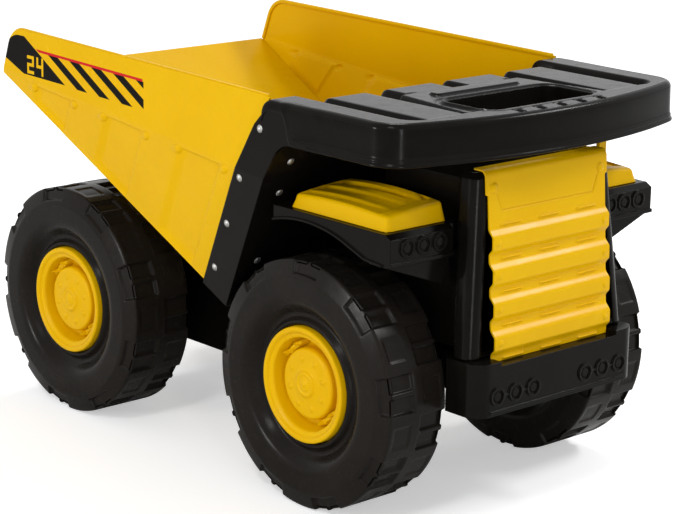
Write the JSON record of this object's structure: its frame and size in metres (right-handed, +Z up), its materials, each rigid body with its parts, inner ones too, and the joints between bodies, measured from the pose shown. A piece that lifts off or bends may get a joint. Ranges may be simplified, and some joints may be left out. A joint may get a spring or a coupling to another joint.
{
  "type": "toy dump truck",
  "caption": "Toy dump truck with a tipping pressed steel bed and canopy, ribbed grille, finned fenders and free-rolling wheels",
  "frame": {"origin": "middle of the truck's bounding box, on the ground under the wheels", "axes": "+X forward towards the grille, +Y to the truck's left, +Z up"},
  "size_m": [0.4735, 0.2784, 0.286],
  "materials": {
    "yellow_steel": "gloss",
    "yellow_plastic": "satin",
    "hub_plastic": "satin",
    "black_plastic": "satin",
    "black_steel": "satin",
    "tyre": "matte",
    "plated_steel": "satin",
    "zinc": "satin"
  },
  "bodies": {
    "root": {"chassis_frame": "black_plastic", "front_axle": "plated_steel", "rear_axle": "plated_steel", "hinge_pin": "plated_steel", "hinge_push_nuts": "zinc", "chassis_screws": "plated_steel", "axle_push_nuts": "zinc", "engine_housing": "black_plastic", "front_bumper": "black_plastic", "grille_panel": "yellow_steel", "fender_right": "black_plastic", "fender_left": "black_plastic", "fender_cover_right": "yellow_plastic", "fender_cover_left": "yellow_plastic", "cab_shell": "yellow_plastic"},
    "dump_bed": {"bed_shell": "yellow_steel", "canopy_bulkhead": "black_plastic", "hinge_bracket_right": "black_steel", "hinge_bracket_left": "black_steel", "bracket_rivets": "yellow_steel", "flange_rivets_right": "zinc", "flange_rivets_left": "zinc", "bulkhead_rivets": "zinc"},
    "wheel_front_right": {"tyre_front_right": "tyre", "hub_front_right": "hub_plastic"},
    "wheel_front_left": {"tyre_front_left": "tyre", "hub_front_left": "hub_plastic"},
    "wheel_rear_right": {"tyre_rear_right": "tyre", "hub_rear_right": "hub_plastic"},
    "wheel_rear_left": {"tyre_rear_left": "tyre", "hub_rear_left": "hub_plastic"}
  },
  "joints": [
    {"name": "bed_tip", "type": "hinge", "parent": "root", "child": "dump_bed", "pos_m": [-0.16725, 0, 0.165], "axis": [0, -1, 0], "range_deg": [0, 55]},
    {"name": "spin_front_right", "type": "hinge", "parent": "root", "child": "wheel_front_right", "pos_m": [0.11775, -0.098, 0.0855], "axis": [0, 1, 0], "continuous": true},
    {"name": "spin_front_left", "type": "hinge", "parent": "root", "child": "wheel_front_left", "pos_m": [0.11775, 0.098, 0.0855], "axis": [0, 1, 0], "continuous": true},
    {"name": "spin_rear_right", "type": "hinge", "parent": "root", "child": "wheel_rear_right", "pos_m": [-0.15125, -0.098, 0.0855], "axis": [0, 1, 0], "continuous": true},
    {"name": "spin_rear_left", "type": "hinge", "parent": "root", "child": "wheel_rear_left", "pos_m": [-0.15125, 0.098, 0.0855], "axis": [0, 1, 0], "continuous": true}
  ]
}
